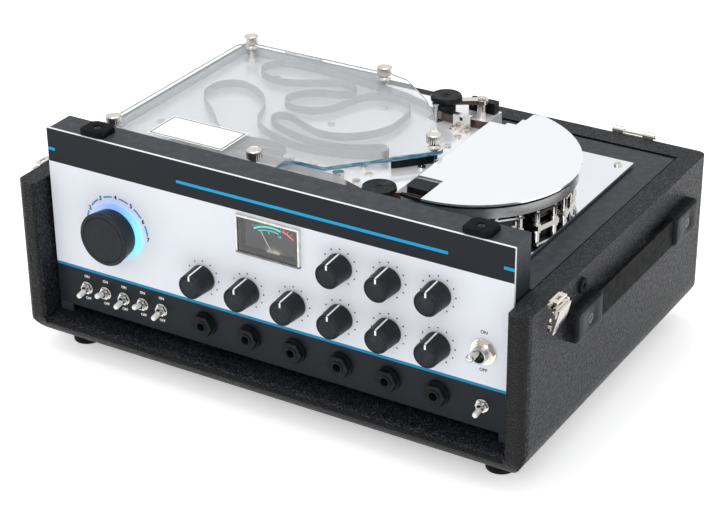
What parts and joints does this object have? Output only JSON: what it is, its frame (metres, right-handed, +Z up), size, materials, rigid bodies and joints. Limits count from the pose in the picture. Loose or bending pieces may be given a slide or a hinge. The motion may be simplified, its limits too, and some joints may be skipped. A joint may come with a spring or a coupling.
{
  "type": "tape echo unit",
  "caption": "Tape echo unit in an open vinyl-covered case: control panel with knobs, switches, jacks and a meter, and a tape loop, heads and drive on a polished deck.",
  "frame": {"origin": "middle of the whole length and width, on the plane that the feet stand on", "axes": "+X to the right along the control panel, the panel faces -Y, +Z up"},
  "size_m": [0.4376, 0.3088, 0.1828],
  "materials": {
    "vinyl": "textured vinyl covering",
    "black_rubber": "matt",
    "black_plastic": "satin",
    "nickel": "bright",
    "screw_steel": "zinc plated",
    "plain_steel": "plain",
    "satin_steel": "satin",
    "polished_steel": "mirror polished",
    "black_paint": "satin black",
    "panel_paint": "satin, printed in black and cyan",
    "board_green": "solder mask",
    "copper_tape": "wound copper under clear tape",
    "ring_light": "lit from behind",
    "clear_acrylic": "clear",
    "white_paint": "matt",
    "white_plastic": "gloss",
    "tape_film": "thin magnetic tape",
    "head_metal": "shield cans",
    "brass": "turned"
  },
  "bodies": {
    "unit": {"case_shell": "vinyl", "case_feet": "black_rubber", "handle_caps": "black_plastic", "handle_strap": "black_rubber", "latch_plates": "nickel", "lid_hinges": "nickel", "case_screws": "screw_steel", "rubber_bumpers": "black_rubber", "mains_inlet": "black_plastic", "chassis_deck": "black_paint", "front_panel": "panel_paint", "circuit_board": "board_green", "power_transformer": "copper_tape", "spring_reverb_tank": "plain_steel", "mode_light_ring": "ring_light", "control_bodies": "plain_steel", "toggle_nuts": "nickel", "jack_bodies": "black_plastic", "jack_nuts": "black_plastic", "meter_case": "black_plastic", "meter_window": "clear_acrylic", "deck_plate": "polished_steel", "tape_tray": "polished_steel", "chamber_cover": "clear_acrylic", "cover_thumbscrews": "nickel", "tape_loop": "tape_film", "tape_guards": "black_plastic", "head_cover": "polished_steel", "head_shield": "satin_steel", "tape_heads": "head_metal", "head_brackets": "nickel", "guide_posts": "nickel", "drive_motor": "plain_steel", "drive_belt": "black_rubber", "pinch_solenoid": "black_plastic"},
    "volume_knob": {"volume_knob": "black_plastic"},
    "chorus_rate_knob": {"chorus_rate_knob": "black_plastic"},
    "chorus_depth_knob": {"chorus_depth_knob": "black_plastic"},
    "reverb_volume_knob": {"reverb_volume_knob": "black_plastic"},
    "speed_knob": {"speed_knob": "black_plastic"},
    "echo_volume_knob": {"echo_volume_knob": "black_plastic"},
    "bass_knob": {"bass_knob": "black_plastic"},
    "treble_knob": {"treble_knob": "black_plastic"},
    "feedback_knob": {"feedback_knob": "black_plastic"},
    "mode_knob": {"mode_knob": "black_plastic"},
    "direct_lever": {"direct_lever": "white_plastic"},
    "motor_lever": {"motor_lever": "white_plastic"},
    "sound_on_sound_lever": {"sound_on_sound_lever": "white_plastic"},
    "echo_lever": {"echo_lever": "white_plastic"},
    "chorus_lever": {"chorus_lever": "white_plastic"},
    "output_level_lever": {"output_level_lever": "white_plastic"},
    "power_lever": {"power_lever": "nickel"},
    "meter_needle": {"meter_needle": "white_paint"},
    "latch_lever_right": {"latch_lever_right": "nickel"},
    "latch_lever_left": {"latch_lever_left": "nickel"},
    "capstan": {"capstan": "satin_steel"},
    "motor_pulley": {"motor_pulley": "brass"},
    "pinch_arm": {"pinch_arm": "nickel"},
    "pinch_roller": {"pinch_roller": "black_rubber"},
    "guide_roller": {"guide_roller": "black_plastic"}
  },
  "joints": [
    {"name": "volume_knob_turn", "type": "hinge", "parent": "unit", "child": "volume_knob", "pos_m": [-0.05715, -0.13187, 0.0905], "axis": [0, 1, 0], "range_deg": [-150, 150]},
    {"name": "chorus_rate_knob_turn", "type": "hinge", "parent": "unit", "child": "chorus_rate_knob", "pos_m": [-0.01879, -0.13187, 0.0905], "axis": [0, 1, 0], "range_deg": [-150, 150]},
    {"name": "chorus_depth_knob_turn", "type": "hinge", "parent": "unit", "child": "chorus_depth_knob", "pos_m": [0.01957, -0.13187, 0.0905], "axis": [0, 1, 0], "range_deg": [-150, 150]},
    {"name": "reverb_volume_knob_turn", "type": "hinge", "parent": "unit", "child": "reverb_volume_knob", "pos_m": [0.05793, -0.13187, 0.0905], "axis": [0, 1, 0], "range_deg": [-150, 150]},
    {"name": "speed_knob_turn", "type": "hinge", "parent": "unit", "child": "speed_knob", "pos_m": [0.09629, -0.13187, 0.0905], "axis": [0, 1, 0], "range_deg": [-150, 150]},
    {"name": "echo_volume_knob_turn", "type": "hinge", "parent": "unit", "child": "echo_volume_knob", "pos_m": [0.13465, -0.13187, 0.0905], "axis": [0, 1, 0], "range_deg": [-150, 150]},
    {"name": "bass_knob_turn", "type": "hinge", "parent": "unit", "child": "bass_knob", "pos_m": [0.05793, -0.13187, 0.1299], "axis": [0, 1, 0], "range_deg": [-150, 150]},
    {"name": "treble_knob_turn", "type": "hinge", "parent": "unit", "child": "treble_knob", "pos_m": [0.09629, -0.13187, 0.1299], "axis": [0, 1, 0], "range_deg": [-150, 150]},
    {"name": "feedback_knob_turn", "type": "hinge", "parent": "unit", "child": "feedback_knob", "pos_m": [0.13465, -0.13187, 0.1299], "axis": [0, 1, 0], "range_deg": [-150, 150]},
    {"name": "mode_knob_turn", "type": "hinge", "parent": "unit", "child": "mode_knob", "pos_m": [-0.1319, -0.13187, 0.1093], "axis": [0, 1, 0], "range_deg": [-30, 150]},
    {"name": "direct_lever_throw", "type": "hinge", "parent": "unit", "child": "direct_lever", "pos_m": [-0.1637, -0.12887, 0.0536], "axis": [-1, 0, 0], "range_deg": [0, 18]},
    {"name": "motor_lever_throw", "type": "hinge", "parent": "unit", "child": "motor_lever", "pos_m": [-0.1467, -0.12887, 0.0536], "axis": [1, 0, 0], "range_deg": [0, 18]},
    {"name": "sound_on_sound_lever_throw", "type": "hinge", "parent": "unit", "child": "sound_on_sound_lever", "pos_m": [-0.1297, -0.12887, 0.0536], "axis": [-1, 0, 0], "range_deg": [0, 18]},
    {"name": "echo_lever_throw", "type": "hinge", "parent": "unit", "child": "echo_lever", "pos_m": [-0.1127, -0.12887, 0.0536], "axis": [1, 0, 0], "range_deg": [0, 18]},
    {"name": "chorus_lever_throw", "type": "hinge", "parent": "unit", "child": "chorus_lever", "pos_m": [-0.0957, -0.12887, 0.0536], "axis": [-1, 0, 0], "range_deg": [0, 18]},
    {"name": "output_level_lever_throw", "type": "hinge", "parent": "unit", "child": "output_level_lever", "pos_m": [0.1696, -0.12887, 0.0536], "axis": [-1, 0, 0], "range_deg": [0, 18]},
    {"name": "power_lever_throw", "type": "hinge", "parent": "unit", "child": "power_lever", "pos_m": [0.1696, -0.12787, 0.0957], "axis": [1, 0, 0], "range_deg": [0, 22]},
    {"name": "meter_needle_swing", "type": "hinge", "parent": "unit", "child": "meter_needle", "pos_m": [0.0003, -0.12887, 0.1256], "axis": [0, 1, 0], "range_deg": [0, 60]},
    {"name": "latch_lever_right_swing", "type": "hinge", "parent": "unit", "child": "latch_lever_right", "pos_m": [0.2145, -0.11227, 0.1325], "axis": [0, -1, 0], "range_deg": [0, 90]},
    {"name": "latch_lever_left_swing", "type": "hinge", "parent": "unit", "child": "latch_lever_left", "pos_m": [-0.2145, -0.11227, 0.1325], "axis": [0, 1, 0], "range_deg": [0, 90]},
    {"name": "capstan_spin", "type": "hinge", "parent": "unit", "child": "capstan", "pos_m": [0.0254, 0.06103, 0.088], "axis": [0, 0, 1], "continuous": true},
    {"name": "motor_pulley_spin", "type": "hinge", "parent": "unit", "child": "motor_pulley", "pos_m": [-0.06, 0.05673, 0.088], "axis": [0, 0, 1], "continuous": true},
    {"name": "pinch_arm_swing", "type": "hinge", "parent": "unit", "child": "pinch_arm", "pos_m": [0.052, 0.08473, 0.1686], "axis": [0, 0, -1], "range_deg": [0, 8]},
    {"name": "pinch_roller_spin", "type": "hinge", "parent": "pinch_arm", "child": "pinch_roller", "pos_m": [0.029, 0.07113, 0.1686], "axis": [0, 0, 1], "continuous": true},
    {"name": "guide_roller_spin", "type": "hinge", "parent": "unit", "child": "guide_roller", "pos_m": [0.057, -0.07677, 0.158], "axis": [0, 0, 1], "continuous": true}
  ],
  "couplings": [
    {"joint": "motor_pulley_spin", "follows": "capstan_spin", "ratio": 6.6667},
    {"joint": "pinch_roller_spin", "follows": "capstan_spin", "ratio": -0.2778},
    {"joint": "guide_roller_spin", "follows": "capstan_spin", "ratio": 0.2857}
  ]
}
